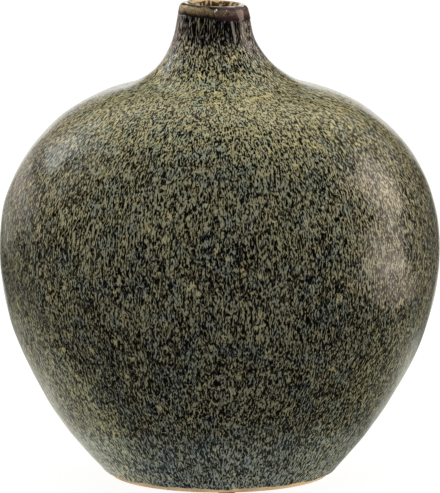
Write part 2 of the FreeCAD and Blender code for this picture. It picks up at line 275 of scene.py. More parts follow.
def rounded(corners, radii, steps):
    """A chain of straight edges with each inner corner rounded: its arc touches both edges at the same
    distance from the corner, the radius over the tangent of half the angle between them."""
    corners = np.asarray(corners)
    out = [corners[:1]]
    for before, corner, after, radius in zip(corners, corners[1:], corners[2:], radii):
        back = (before - corner) / abs(before - corner)
        on = (after - corner) / abs(after - corner)
        half = abs(np.angle(on / back)) / 2
        centre = corner + (back + on) / abs(back + on) * radius / math.sin(half)
        touch = radius / math.tan(half)
        first = corner + back * touch - centre
        turn = np.angle((corner + on * touch - centre) / first)
        out.append(centre + first * np.exp(1j * turn * np.linspace(0, 1, steps)))
    return np.concatenate(out + [corners[-1:]])


def waves(points, seed, wavelength, count=28):
    """A smooth random height at each point, about 1 high: the sum of plane waves in random directions."""
    random = np.random.default_rng(seed)
    ways = random.normal(size=(count, 3))
    ways /= np.linalg.norm(ways, axis=1, keepdims=True)
    ways *= 2 * math.pi / (wavelength * random.uniform(0.75, 1.5, (count, 1)))
    return np.sin(points @ ways.T + random.uniform(0, 2 * math.pi, count)).sum(axis=-1) / math.sqrt(count / 2)


def around(count):
    """Equal angles round the axis, as a column."""
    return np.linspace(0, 2 * math.pi, count, endpoint=False)[:, None]


def turned(section, turn):
    """Points in space of a section carried round the axis: x = r cos t, y = r sin t, z = height."""
    section = np.broadcast_to(section, np.broadcast(section, turn).shape)
    return np.stack([section.real * np.cos(turn), section.real * np.sin(turn), section.imag], axis=-1)


def smoothstep(values, low, high):
    """0 below low and 1 above high, with a smooth rise 3t^2 - 2t^3 between."""
    t = np.clip((values - low) / (high - low), 0, 1)
    return t * t * (3 - 2 * t)


LEAN_START, LEAN_END = 0.186, 0.226
TILT_START, TILT_END = 0.224, 0.236
SAG_HEIGHT, SAG_SPREAD, SAG = 0.038, 0.022, 0.0006


def hand_thrown(section, turn, clay):
    """Points of a section carried round the axis, on the vase as it left the wheel: the neck stands a little
    left and the rim dips to the right, by shifts that rise smoothly with height, and the lower wall sags a
    little to the left, by a bell curve of the height."""
    x, y, z = np.moveaxis(turned(section, turn), -1, 0)
    lean = clay.neck_lean * smoothstep(z, LEAN_START, LEAN_END)
    sag = SAG * np.exp(-(((z - SAG_HEIGHT) / SAG_SPREAD) ** 2))
    dip = math.tan(clay.rim_tilt) * x * smoothstep(z, TILT_START, TILT_END)
    return np.stack([x - lean - sag, y, z - dip], axis=-1)


# Steps round an edge, and the radii of two discs' edges, below and above
EDGE_STEPS = 6
BASE_COAT_ROUNDS = (0.35 * MM, 0.05 * MM)
FELT_ROUNDS = (0.25 * MM, 0.12 * MM)


def disc(low, high, radius, rounds, steps):
    """The section of a disc from its underside's middle to its top's, with both edges rounded."""
    corners = [complex(0, low), complex(radius, low), complex(radius, high), complex(0, high)]
    edge = rounded(corners, rounds, EDGE_STEPS)
    underside = np.linspace(0, edge[1].real, steps[0])[:-1] + 1j * low
    top = np.linspace(edge[-2].real, 0, steps[1])[1:] + 1j * high
    return np.concatenate([underside, edge[1:-1], top])


def make_mesh(name, points, ring):
    """A closed mesh from a grid of points: rows go round the axis and columns along the section.

    A ring's last column meets its first. Otherwise the first and last columns lie on the axis, and each is
    one vertex with triangles round it.
    """
    turns, columns = points.shape[:2]
    if ring:
        vertices = points.reshape(-1, 3)
        index = np.arange(turns * columns).reshape(turns, columns)
        index = np.concatenate([index, index[:, :1]], axis=1)
    else:
        vertices = np.concatenate([points[:, 1:-1].reshape(-1, 3), points[0, [0, -1]]])
        index = np.arange(turns * (columns - 2)).reshape(turns, -1)
    beside = np.roll(index, -1, axis=0)
    quads = np.stack([index[:, :-1], beside[:, :-1], beside[:, 1:], index[:, 1:]], axis=-1)
    faces = quads.reshape(-1, 4).tolist()
    if not ring:
        low, high = np.full(turns, index.size), np.full(turns, index.size + 1)
        faces += np.stack([low, beside[:, 0], index[:, 0]], axis=-1).tolist()
        faces += np.stack([index[:, -1], beside[:, -1], high], axis=-1).tolist()
    mesh = bpy.data.meshes.new(name)
    mesh.from_pydata(vertices.tolist(), [], faces)
    mesh.validate()
    mesh.shade_smooth()
    return mesh


def add_object(name, data):
    """Puts a new object in the scene."""
    made = bpy.data.objects.new(name, data)
    bpy.context.scene.collection.objects.link(made)
    return made


def add_piece(name, points, ring, material, slot, *nodes):
    """Makes a mesh of points and puts it in the scene, as a piece that rides on the vase and stands for CAD
    nodes. Gives the mesh back."""
    mesh = make_mesh(name, points, ring)
    mesh.materials.append(material)
    piece = add_object(name, mesh)
    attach(piece, "root")
    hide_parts(*nodes)
    return mesh


# Finishes

# Heights at which the glaze's colour and cover are given, from the foot to the lip
HEIGHTS = (0.003, 0.022, 0.040, 0.080, 0.117, 0.160, 0.200, 0.216, 0.228, 0.238)
RAMP_TOP = 0.240
PALE_BY_HEIGHT = (
    "foot", "ankle", "low", "low", "belly", "chest", "shoulder", "neck_root", "neck", "neck",
)
COVER_BY_HEIGHT = (0.64, 0.52, 0.465, 0.455, 0.485, 0.57, 0.72, 0.52, 0.13, 0.07)


def written(operation, turned_round=False):
    """What an operator between wires and numbers does: it adds a Math node."""
    def add(*values):
        wire = values[0]
        return wire.paint.maths(operation, *(values[::-1] if turned_round else values))
    return add


class Wire:
    """An output of a shader node. A sum written with it adds Math nodes."""

    def __init__(self, paint, socket):
        self.paint = paint
        self.socket = socket

    __add__ = __radd__ = written("ADD")
    __sub__, __rsub__ = written("SUBTRACT"), written("SUBTRACT", True)
    __mul__ = __rmul__ = written("MULTIPLY")
    __pow__ = written("POWER")
    __abs__ = written("ABSOLUTE")


class Paint:
    """The node tree of one finish, of the floor or of the world."""

    def __init__(self, tree, material=None):
        self.tree = tree
        self.material = material
        tree.nodes.clear()

    def node(self, kind, settings=None, inputs=None, output=0):
        """Adds a node: its settings first, such as a ramp's stops, then its sockets' values or links."""
        made = self.tree.nodes.new(kind)
        for name, value in (settings or {}).items():
            if name == "stops":
                self.set_stops(made.color_ramp, value)
            else:
                setattr(made, name, value)
        for name, value in (inputs or {}).items():
            if isinstance(value, Wire):
                self.tree.links.new(value.socket, made.inputs[name])
            else:
                made.inputs[name].default_value = value
        return Wire(self, made.outputs[output]) if made.outputs else None

    @staticmethod
    def set_stops(ramp, stops):
        """Gives a ramp its stops, as pairs of a place and a colour, with a smooth change between."""
        ramp.interpolation = "EASE"
        while len(ramp.elements) < len(stops):
            ramp.elements.new(1)
        for element, (place, value) in zip(ramp.elements, stops):
            element.position = place
            element.color = (*value, 1)

    def maths(self, operation, *values):
        return self.node("ShaderNodeMath", {"operation": operation}, dict(enumerate(values)))

    def vector(self, operation, a, b):
        return self.node("ShaderNodeVectorMath", {"operation": operation}, {0: a, 1: b})

    def mix(self, factor, a, b, blend="MIX"):
        """A colour between two colours."""
        settings = {"data_type": "RGBA", "blend_type": blend}
        a, b = (c if isinstance(c, Wire) else (*c, 1) for c in (a, b))
        return self.node("ShaderNodeMix", settings, {0: factor, 6: a, 7: b}, 2)

    def tinted(self, factor, value, tint):
        """A colour times a tint, as far as a factor says."""
        return self.mix(factor, value, tint, "MULTIPLY")

    def rise(self, value, low, high, start=0.0, finish=1.0):
        """start below low, finish above high and smooth between, or the other way where low is above high."""
        settings = {"interpolation_type": "SMOOTHSTEP"}
        return self.node("ShaderNodeMapRange", settings, {0: value, 1: low, 2: high, 3: start, 4: finish})

    def ramp(self, height, colours):
        """A colour for each of HEIGHTS, and smooth between them."""
        stops = [(z / RAMP_TOP, colour) for z, colour in zip(HEIGHTS, colours)]
        return self.node("ShaderNodeValToRGB", {"stops": stops}, {0: height * (1 / RAMP_TOP)})

    def noise(self, where, scale, detail=2.0, roughness=0.5, distortion=0.0):
        """Noise between 0 and 1 whose features are about 1 / scale metres across."""
        inputs = {"Vector": where, "Scale": scale, "Detail": detail, "Roughness": roughness}
        return self.node("ShaderNodeTexNoise", {}, inputs | {"Distortion": distortion})

    def swing(self, where, amount, noise):
        """Noise about zero, times an amount."""
        return (self.noise(where, *noise) - 0.5) * amount

    def streaks(self, where, scales, *noise):
        """Noise with a number of features per metre along each axis."""
        return self.noise(self.vector("MULTIPLY", where, scales), 1, *noise)

    def place(self):
        """The place on the piece, in metres."""
        return self.node("ShaderNodeTexCoord", output="Object")

    def split(self, vector, axis):
        """A vector's part along an axis."""
        return self.node("ShaderNodeSeparateXYZ", {}, {0: vector}, axis)

    def bump(self, height, depth):
        """A normal tilted by a height between 0 and 1, for a relief of a depth in metres."""
        return self.node("ShaderNodeBump", {}, {"Height": height, "Distance": depth, "Strength": 1.0})

    def ray(self, kind):
        """1 for a ray of a kind and 0 for others."""
        return self.node("ShaderNodeLightPath", output=kind)

    def light(self, tint):
        """A surface that glows, as bright as its colour."""
        return self.node("ShaderNodeEmission", {}, {"Color": tint})

    def matt(self, grey):
        """A plain matt surface."""
        return self.node("ShaderNodeBsdfDiffuse", {}, {"Color": (grey, grey, grey, 1)})

    def added(self, a, b):
        """Two surfaces in one."""
        return self.node("ShaderNodeAddShader", {}, {0: a, 1: b})

    def between(self, factor, a, b):
        """A surface between two."""
        return self.node("ShaderNodeMixShader", {}, {0: factor, 1: a, 2: b})

    def finish(self, **inputs):
        """Ends the tree with a Principled surface, whose inputs are named with _ for a space, and gives the
        material."""
        named = {name.replace("_", " "): value for name, value in inputs.items()}
        shader = self.node("ShaderNodeBsdfPrincipled", {}, named)
        self.node("ShaderNodeOutputMaterial", {}, {"Surface": shader})
        return self.material


def new_paint(name):
    """The empty tree of a new material."""
    material = bpy.data.materials.new(name)
    material.use_nodes = True
    return Paint(material.node_tree, material)


# The speckle's layers. A noise is its features per metre, detail, roughness and distortion, and a swing is how
# far it moves the tone.
GRAINS, GRAIN_SWING = (1400, 1.0, 0.6, 0.45), 3.5
THREADS, THREAD_THINNESS, THREAD_LEAST, THREAD_MIDDLE, THREAD_SWING = (860, 0.0, 0.5, 0.6), 9, -0.7, 0.2, 0.62
RUNS, RUN_STRETCH, RUN_SWING = (1100, 1.0, 0.5), (1, 1, 0.36), 1.8
PATCHES, PATCH_SWING = (150, 1.0, 0.5, 0.3), 0.32
CLOUDS, CLOUD_SWING = (34, 2.0, 0.5), 0.46
FLECKS, FLECK_EDGE, FLECK_TOP, FLECK_TINT = (230, 0.0, 0.5), (0.745, 0.785), (0.226, 0.219), (1.50, 1.38, 1.15)
OCHRE, OCHRE_EDGE, OCHRE_TINT = (210, 1.0, 0.5), (0.48, 0.72, 0.0, 0.7), (1.10, 0.98, 0.79)
SLATE, SLATE_EDGE, SLATE_TINT = (110, 2.0, 0.5), (0.46, 0.66), (0.79, 0.91, 1.14)
PEEL, PEEL_DEPTH, GRAIN_RELIEF = (170, 1.0, 0.5), 0.10 * MM, 0.14
# The painted light on the lower wall's flanks, a painted reflection of the floor and backdrop, begins beyond a
# parabola, aside = edge + curve times height squared
PAINTED_FLANK_CURVE, PAINTED_FLANK_EDGE, PAINTED_FLANK_TOP, PAINTED_FLANK_TINT = 6.5, (0.030, 0.048), (0.105, 0.085), (1.75, 1.72, 1.42)
PAINTED_FLANK_LEFT_TO_RIGHT = (0.02, -0.02, 0.45, 1.0)
# A painted reflection on the neck's sides: its distances from the neck's middle, and the heights where it
# begins
PAINTED_NECK_REFLECTION, PAINTED_NECK_REFLECTION_FOOT = (0.0140, 0.0175), (0.211, 0.221)
# the flanks' and the neck sides' lifts raise the tone where the painted reflections are
FLECK_LIFT, PAINTED_FLANK_LIFT, PAINTED_NECK_REFLECTION_LIFT = 0.42, 0.14, 0.16
# How far a layer's tint goes where the layer is full
FLECK_SHARE, PAINTED_FLANK_SHARE, PAINTED_NECK_REFLECTION_SHARE, SLATE_SHARE = 0.75, 0.8, 0.8, 0.85
SLATE_BY_CLOUDS, TONE_POWER = 0.8, 2.2


def speckled_finish(clay, colours):
    """Dark glossy glaze with a dense net of pale grains, curls and threads that run down the wall.

    The tone is the cover at a place's height plus the swings of the layers, held between 0 and 1. Its power
    mixes the dark glaze with the pale one, and pale glaze is a little rougher and higher.
    """
    paint = new_paint("speckled_glaze")
    grain = paint.node("ShaderNodeAttribute", {"attribute_name": "grain"}, {}, "Vector")
    place = paint.place()
    x, height = paint.split(place, X), paint.split(place, Z)
    # a thread is where its noise crosses its middle value
    threads = 1 - abs(paint.noise(grain, *THREADS) - 0.5) * THREAD_THINNESS
    threads = (paint.maths("MAXIMUM", threads, THREAD_LEAST) - THREAD_MIDDLE) * THREAD_SWING
    runs = paint.swing(paint.vector("MULTIPLY", grain, RUN_STRETCH), RUN_SWING, RUNS)
    clouds = paint.swing(place, CLOUD_SWING, CLOUDS)
    cover = paint.ramp(height, [(cover, cover, cover) for cover in COVER_BY_HEIGHT])
    tone = cover + paint.swing(grain, GRAIN_SWING, GRAINS) + threads + runs
    tone = tone + paint.swing(place, PATCH_SWING, PATCHES) + clouds
    # painted light: the lower wall is paler at both sides, more so on the left, and the neck is greyer at both
    # sides, both painted reflections of the pale floor and studio
    painted_flank_light = paint.rise(abs(x) - height ** 2 * PAINTED_FLANK_CURVE, *PAINTED_FLANK_EDGE) * paint.rise(height, *PAINTED_FLANK_TOP)
    painted_flank_light = painted_flank_light * paint.rise(x, *PAINTED_FLANK_LEFT_TO_RIGHT)
    side = paint.rise(abs(x + clay.neck_lean), *PAINTED_NECK_REFLECTION) * paint.rise(height, *PAINTED_NECK_REFLECTION_FOOT)
    flecks = paint.rise(paint.noise(place, *FLECKS), *FLECK_EDGE) * paint.rise(height, *FLECK_TOP)
    tone = tone + flecks * FLECK_LIFT + painted_flank_light * PAINTED_FLANK_LIFT + side * PAINTED_NECK_REFLECTION_LIFT
    tone = paint.node("ShaderNodeClamp", {}, {0: tone})
    pale = paint.ramp(height, [getattr(colours, name) for name in PALE_BY_HEIGHT])
    # the flanks' painted reflection pales and tints the speckle
    pale = paint.tinted(painted_flank_light * PAINTED_FLANK_SHARE, pale, PAINTED_FLANK_TINT)
    # the neck's sides take pinkish grey as a painted reflection
    pale = paint.mix(side * PAINTED_NECK_REFLECTION_SHARE, pale, colours.rose_and_painted_reflection)
    pale = paint.tinted(paint.rise(paint.noise(place, *OCHRE), *OCHRE_EDGE), pale, OCHRE_TINT)
    slate = paint.rise(paint.noise(place, *SLATE) - clouds * SLATE_BY_CLOUDS, *SLATE_EDGE)
    pale = paint.tinted(slate * SLATE_SHARE, pale, SLATE_TINT)
    pale = paint.tinted(flecks * FLECK_SHARE, pale, FLECK_TINT)
    gap = paint.mix(slate, colours.gap, colours.ink)
    base = paint.mix(tone ** TONE_POWER, gap, pale)
    base = paint.mix(mauve_run(paint, place, height), base, colours.rose_and_painted_reflection)
    rough = paint.rise(tone, 0.3, 0.9, 0.10, 0.28)
    relief = paint.bump(tone * GRAIN_RELIEF + paint.noise(place, *PEEL), PEEL_DEPTH)
    coat = {"Coat_Weight": tone * 0.9, "Coat_Roughness": 0.20, "Coat_IOR": 1.5}
    return paint.finish(Base_Color=base, Roughness=rough, Normal=relief, IOR=1.42, **coat)


MAUVE_TOP, MAUVE_FOOT = (0.0060, 0.2345), (0.0078, 0.2225)
MAUVE_FADE, MAUVE_STRENGTH = (0.9 * MM, 0.1 * MM), 0.6


def mauve_run(paint, place, height):
    """How much of the narrow pale run down the neck, right of the front, is at a place: it fades with the
    distance from a line between two points, given as place across and height."""
    (top_x, top), (foot_x, foot) = MAUVE_TOP, MAUVE_FOOT
    middle = top_x + paint.rise(height, top, foot) * (foot_x - top_x)
    beside = paint.rise(abs(paint.split(place, X) - middle), *MAUVE_FADE)
    above_foot = paint.rise(height, foot - 2 * MM, foot + MM)
    below_top = paint.rise(height, top + MM, top - 2 * MM)
    front = paint.rise(paint.split(place, Y), 0.0, -0.005)
    return beside * above_foot * below_top * front * MAUVE_STRENGTH


# Small beads of glaze on the lip's front: place across, share of the way over the lip, height
LIP_BEADS = ((0.0014, 0.395, 0.00042), (0.0006, 0.345, 0.00034), (0.0064, 0.375, 0.00014))
BEAD_RADIUS = 0.5 * MM
# The length of the way over the lip, and shares of it, from the band's edge outside to its edge inside
LIP_REACH = 13.6 * MM
PAINTED_DARK_LINE, CREST, DRIPS, DRIPS_END = (0.375, 0.41), (0.535, 0.56), (0.62, 0.68), (0.98, 0.84)
TAN_TOP, TAN_FOOT, FLECKS_TOP, FLECKS_FOOT = (0.43, 0.39), (0.04, 0.36), (0.42, 0.38), (0.10, 0.24)


def lip_finish(clay, colours):
    """The lip's glossy band: plum where it is thick, streaked with tan on the left, with a painted dark
    reflection under the crest, a painted highlight on the crest's front and painted glints on its beads.
    """
    paint = new_paint("lip_glaze")
    across = paint.node("ShaderNodeAttribute", {"attribute_name": "across"}, {}, "Fac")
    place = paint.place()
    x, y = paint.split(place, X), paint.split(place, Y)
    blotches = paint.noise(place, 420, 1.0, 0.5)
    right = paint.rise(x + (blotches - 0.5) * 0.004, -0.003, 0.003)
    mottle = paint.rise(across + paint.swing(place, 0.5, (900, 2.0, 0.6)), 0.12, 0.44)
    mauve = paint.mix(mottle, colours.plum, colours.mauve)
    band = paint.mix(right, colours.iron, mauve)
    # up the lip: the band, a dark line that is a painted reflection, the crest whose front is a painted
    # highlight, then brown drips inside
    # a painted reflection: the dark line under the crest, dark brown on the left and partly mauve on the right
    line = paint.mix(right * 0.7, colours.iron, colours.mauve)
    thick = paint.mix(paint.rise(across + (blotches - 0.5) * 0.05, *PAINTED_DARK_LINE), band, line)
    # a painted highlight: the crest's front is pale grey-cream, its back honey
    crest = paint.mix(paint.rise(y, 0.0, 0.006), colours.painted_crest_highlight, colours.honey)
    thick = paint.mix(paint.rise(across, *CREST), thick, crest)
    drips = paint.rise(paint.streaks(place, (420, 420, 200), 3.0, 0.6, 0.4), 0.43, 0.49)
    drips = drips * paint.rise(across, *DRIPS) * paint.rise(across, *DRIPS_END)
    thick = paint.mix(drips, thick, colours.brown)
    # tan where the band is thin: on the left, fading down in streaks, with flecks where it ends
    streaks = paint.rise(paint.streaks(place, (1500, 1500, 260), 1.0, 0.5), 0.34, 0.62, 0.30, 1.0)
    thin = streaks * paint.rise(x, 0.005, -0.014, 0.10, 1.0)
    thin = thin * paint.rise(across, *TAN_TOP) * paint.rise(across, *TAN_FOOT)
    base = paint.mix(thin, thick, colours.tan)
    flecks = paint.rise(paint.noise(place, 1100, 1.0, 0.5), 0.55, 0.66) * paint.rise(x, 0.012, 0.004)
    flecks = flecks * paint.rise(across, *FLECKS_TOP) * paint.rise(across, *FLECKS_FOOT)
    base = paint.mix(flecks * 0.45, base, colours.tan)
    # painted glints: each bead is painted pale inside a circle on the lip, and the highest bead is palest
    for bead_x, bead_across, height in LIP_BEADS:
        beside = (x + (clay.neck_lean - bead_x)) * (1 / BEAD_RADIUS)
        along = (across - bead_across) * (LIP_REACH / BEAD_RADIUS)
        painted_glint = paint.rise(beside * beside + along * along, 1.0, 0.3) * paint.rise(y, 0.0, -0.002)
        base = paint.mix(painted_glint * (height / LIP_BEADS[0][2]), base, colours.bead)
    return paint.finish(Base_Color=base, Roughness=0.10, IOR=1.5)


def lining_finish(colours):
    """Honey-coloured glaze with brown runs under the mouth."""
    paint = new_paint("liner_glaze")
    thick = paint.rise(paint.streaks(paint.place(), (420, 420, 90), 2.0, 0.5), 0.52, 0.62)
    base = paint.mix(thick, colours.honey, colours.plum)
    return paint.finish(Base_Color=base, Roughness=0.15, IOR=1.5)


def base_finish(colours):
    """Dark glaze in the recess, pooled and pitted."""
    paint = new_paint("base_glaze")
    mottle = paint.rise(paint.noise(paint.place(), 240, 3.0, 0.6, 0.4), 0.5, 0.72)
    base = paint.mix(mottle, colours.gap, colours.foot)
    return paint.finish(Base_Color=base, Roughness=0.18, IOR=1.5)


def clay_finish(colours):
    """Buff stoneware, matt and slightly sandy, with dark iron specks."""
    paint = new_paint("stoneware")
    place = paint.place()
    sand = paint.noise(place, 1400, 3.0, 0.6)
    cloud = paint.noise(place, 60, 2.0, 0.5)
    cells = paint.node("ShaderNodeTexVoronoi", {}, {"Vector": place, "Scale": 420.0})
    specks = paint.rise(cells, 0.10, 0.16, 1.0, 0.0)
    pale = tuple(min(1, c * 1.18) for c in colours.buff)
    deep = tuple(c * 0.72 for c in colours.buff)
    base = paint.mix(paint.rise(sand + cloud, 0.8, 1.25), deep, pale)
    base = paint.mix(specks * 0.6, base, (0.10, 0.055, 0.03))
    return paint.finish(Base_Color=base, Roughness=0.85, Normal=paint.bump(sand, 0.05 * MM), IOR=1.5)


def felt_finish(colours):
    """Dark felt: short fibres matted every way."""
    paint = new_paint("felt")
    fibres = paint.streaks(paint.place(), (2600, 5200, 4000), 3.0, 0.7, 1.5)
    dark = tuple(c * 0.5 for c in colours.felt)
    pale = tuple(c * 2.2 for c in colours.felt)
    base = paint.mix(paint.rise(fibres, 0.35, 0.7), dark, pale)
    return paint.finish(Base_Color=base, Roughness=0.95, Normal=paint.bump(fibres, 0.08 * MM), IOR=1.4)


# Pieces

def settings():
    """The sizes and colours held by the scene, and the clay's skin."""
    scene = bpy.context.scene
    clay, coats = scene.vase_clay, scene.vase_coats
    return clay, coats, scene.vase_colours, Skin(clay, coats.lip)


# A step along the wall is this share of its length in the speckle's pattern, and changes between two heights
FOOT_STEP, WALL_STEP, SHOULDER_STEP, NECK_STEP = 0.33, 0.385, 0.44, 0.20
STEP_CHANGES = (
    (0.045, 0.020, FOOT_STEP - WALL_STEP),
    (0.160, 0.195, SHOULDER_STEP - WALL_STEP),
    (0.219, 0.230, NECK_STEP - SHOULDER_STEP),
)
LEAST_STEP_SQUARED = 0.02
GRAIN_FOLD = 3


def grain_places(section, place, turn):
    """Where the speckle's pattern is read: the section's distance from the axis, folded three times round a
    narrower circle, and a height that grows along the wall. A step round the wall is as long in the pattern
    as on the wall, and a step along it is shorter, so grains come out longer along the wall."""
    radius = section.real
    along = np.abs(np.gradient(place, axis=-1))
    fold = np.abs(np.gradient(radius, axis=-1)) / np.maximum(along, 1e-9) / GRAIN_FOLD
    share = WALL_STEP + sum(change * smoothstep(section.imag, *between) for *between, change in STEP_CHANGES)
    step = np.sqrt(np.maximum(share**2 - fold**2, LEAST_STEP_SQUARED))
    climbs = np.cumsum(step * along, axis=-1)
    return turned(radius / GRAIN_FOLD + 1j * climbs, GRAIN_FOLD * turn)


class VASE_OT_clay(bpy.types.Operator):
    """Builds the fired clay in one piece: foot ring, recess, wall, lip, hollow and floor"""

    bl_idname = "vase.clay"
    bl_label = "Clay body"

    def execute(self, context):
        clay, coats, colours, skin = settings()
        foot = clay.foot_diameter / 2
        recess = foot - clay.ring_width
        ceiling = clay.foot_plane + clay.recess_depth
        wall_start = 2 * clay.edge_round
        first, _ = skin.at(np.array(wall_start))
        # the underside is straight edges with rounded corners, and the wall is the skin itself
        corners = [
            complex(0, ceiling), complex(recess, ceiling), complex(recess, clay.foot_plane),
            complex(foot, clay.foot_plane), complex(first),
        ]
        underside = rounded(corners, (clay.recess_round, clay.edge_round, clay.edge_round), EDGE_STEPS)
        level = np.linspace(0, underside[1].real, 12)[:-1] + 1j * ceiling
        wall, _ = skin.at(np.linspace(wall_start, skin.hollow_end, 300)[1:])
        section = np.concatenate([level, underside[1:], wall, skin.corner_and_floor(0, 10, 12)])
        points = hand_thrown(section, around(240), clay)
        add_piece("clay_shell", points, False, clay_finish(colours), "stoneware", "clay_body")
        return {"FINISHED"}


# The speckled coat's rolled edge, how far the coat runs on under the lip band, and places up the roll
TURNS = 480
EDGE_RAISE, EDGE_ROLL, UNDER_BAND = 1.0 * MM, 1.1 * MM, 0.3 * MM
ROLL_PLACES = 1.4 * MM * np.array([0, 0.04, 0.12, 0.25, 0.45, 0.7, 1.0])
BEADING, BEADING_REACH = 0.10 * MM, 1.6 * MM
SETTLED_LOW, SETTLED_HIGH = 6 * MM, 12 * MM


class VASE_OT_speckled_coat(bpy.types.Operator):
    """Builds the speckled coat on the outside, with a lower edge that wanders and rolls over"""

    bl_idname = "vase.speckled_coat"
    bl_label = "Speckled coat"

    def execute(self, context):
        clay, coats, colours, skin = settings()
        turn = around(TURNS)
        rim = turned(np.array([[skin.foot]]), turn)
        wander = coats.line_wander * (waves(rim, 21, 0.012) + 0.5 * waves(rim, 22, 0.004))
        edge = skin.place_at_height(coats.glaze_line + EDGE_RAISE) + wander
        top = skin.collar_top - coats.band + UNDER_BAND
        # closely spaced at the rolled edge, then even up to the lip
        up = np.linspace(0, 1, 165)[None, 1:]
        roll_end = edge + ROLL_PLACES[-1]
        outer = np.concatenate([edge + ROLL_PLACES, roll_end + (top - roll_end) * up], axis=1)
        point, normal = skin.at(outer)
        # the depth rises from the edge as a quarter of a circle, with a bead exp(-t^2) just above it
        from_edge = np.clip((outer - edge) / EDGE_ROLL, 0, 1)
        depth = coats.speckled * np.sqrt(1 - (1 - from_edge) ** 2)
        depth = depth + BEADING * np.exp(-(((outer - edge) / BEADING_REACH - 1) ** 2))
        # the hand-thrown wall's slow waves die out at both ends
        spots = turned(point, turn)
        relief = coats.unevenness * (waves(spots, 11, 0.040) + 0.6 * waves(spots, 12, 0.018))
        relief = relief * smoothstep(outer - edge, 0, SETTLED_LOW) * smoothstep(top - outer, 0, SETTLED_HIGH)
        inner = np.linspace(1, 0, 24)[None, :] * (top - edge) + edge
        inside, _ = skin.at(inner)
        section = np.concatenate([point + (depth + relief) * normal, inside], axis=1)
        points = hand_thrown(section, turn, clay)
        finish = speckled_finish(clay, colours)
        mesh = add_piece("speckled_coat", points, True, finish, "speckled_glaze", "outer_glaze")
        grain = grain_places(section, np.concatenate([outer, inner], axis=1), turn)
        mesh.attributes.new("grain", "FLOAT_VECTOR", "POINT").data.foreach_set("vector", grain.ravel())
        return {"FINISHED"}


# The lip band's rounded edges, how far it overlaps the coats beside it, and its extra depth
BAND_ROUND, BAND_OVERLAP = 0.9 * MM, 0.06 * MM
BAND_EXTRA, BAND_EXTRA_RIGHT, BAND_WAVES = 0.03 * MM, 0.10 * MM, 0.05 * MM


class VASE_OT_lip_band(bpy.types.Operator):
    """Builds the lip's coat, from a wavy edge on the collar over the lip and into the throat"""

    bl_idname = "vase.lip_band"
    bl_label = "Lip band"

    def execute(self, context):
        clay, coats, colours, skin = settings()
        turn = around(360)
        rim = turned(np.array([[skin.lip]]), turn)
        # the band hangs lower and thicker on the right, and its edge is fringed with short runs
        right = smoothstep(rim[..., X], -0.010, 0.012)
        fringe = 0.45 * waves(rim, 41, 0.006) + 0.25 * waves(rim, 42, 0.0025)
        start = skin.collar_top - coats.band - (0.4 + 1.9 * right + 0.35 * fringe) * MM
        end = skin.lip_end + coats.throat + (0.6 + 0.5 * waves(rim, 43, 0.005)) * MM
        across = np.linspace(0, 1, 64)[None, :]
        outer = start + (end - start) * across
        point, normal = skin.at(outer)
        # the depth rises from the coats beside it as a quarter of a circle, then slow waves and beads add to it
        edge = np.clip(np.minimum(outer - start, end - outer) / BAND_ROUND, 0, 1)
        under = np.where(across < 0.5, coats.speckled, coats.lining) - BAND_OVERLAP
        full = coats.lip + (BAND_EXTRA + BAND_EXTRA_RIGHT * right) * (1 - smoothstep(across, 0.25, 0.5))
        spots = turned(point, turn)
        depth = under + (full - under) * np.sqrt(1 - (1 - edge) ** 2)
        depth = depth + BAND_WAVES * waves(spots, 44, 0.007) * edge
        for bead_x, bead_across, height in LIP_BEADS:
            beside = (spots[..., X] - bead_x) / BEAD_RADIUS
            along = (across - bead_across) * (end - start) / BEAD_RADIUS
            depth = depth + height * np.exp(-(beside**2) - along**2) * (np.sin(turn) < 0)
        inside, _ = skin.at(outer[:, ::-3])
        points = hand_thrown(np.concatenate([point + depth * normal, inside], axis=1), turn, clay)
        mesh = add_piece("lip_band", points, True, lip_finish(clay, colours), "lip_glaze", "lip_glaze")
        both = np.concatenate([across, across[:, ::-3]], axis=1) + 0 * turn
        mesh.attributes.new("across", "FLOAT", "POINT").data.foreach_set("value", both.ravel())
        return {"FINISHED"}


class VASE_OT_lining(bpy.types.Operator):
    """Builds the lining: the glaze on the hollow's wall, corner and floor"""

    bl_idname = "vase.lining"
    bl_label = "Lining"

    def execute(self, context):
        clay, coats, colours, skin = settings()
        # the free side is the clay side moved off it by the coat's thickness
        point, normal = skin.at(np.linspace(skin.lip_end + coats.throat, skin.hollow_end, 150))
        clay_side = np.concatenate([point, skin.corner_and_floor(0, 8, 8)])[::-1]
        free_side = np.concatenate([point + coats.lining * normal, skin.corner_and_floor(coats.lining, 8, 8)])
        points = hand_thrown(np.concatenate([clay_side, free_side]), around(192), clay)
        add_piece("honey_lining", points, False, lining_finish(colours), "liner_glaze", "liner_glaze")
        return {"FINISHED"}


class VASE_OT_base_coat(bpy.types.Operator):
    """Builds the glaze in the recess under the base"""

    bl_idname = "vase.base_coat"
    bl_label = "Base coat"

    def execute(self, context):
        _, _, colours, _ = settings()
        low, high = BASE_COAT_BOX
        section = disc(low.z, high.z, high.x, BASE_COAT_ROUNDS, (40, 12))
        points = turned(section, around(160))
        add_piece("base_coat", points, False, base_finish(colours), "base_glaze", "base_glaze")
        return {"FINISHED"}


class VASE_OT_felt_dots(bpy.types.Operator):
    """Builds the three felt dots under the foot ring"""

    bl_idname = "vase.felt_dots"
    bl_label = "Felt dots"

    def execute(self, context):
        _, _, colours, _ = settings()
        material = felt_finish(colours)
        for node in DOT_NODES:
            low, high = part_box(node)
            middle = (low + high) / 2
            section = disc(low.z, high.z, (high.x - low.x) / 2, FELT_ROUNDS, (14, 10))
            points = turned(section, around(96))
            # a little fuzz on the sides
            fuzz = 1 + 0.012 * waves(points, 31, 0.0012)[..., None] * np.array([1, 1, 0])
            points = points * fuzz + np.array([middle.x, middle.y, 0])
            add_piece(node.replace("_dot", ""), points, False, material, "felt", node)
        return {"FINISHED"}


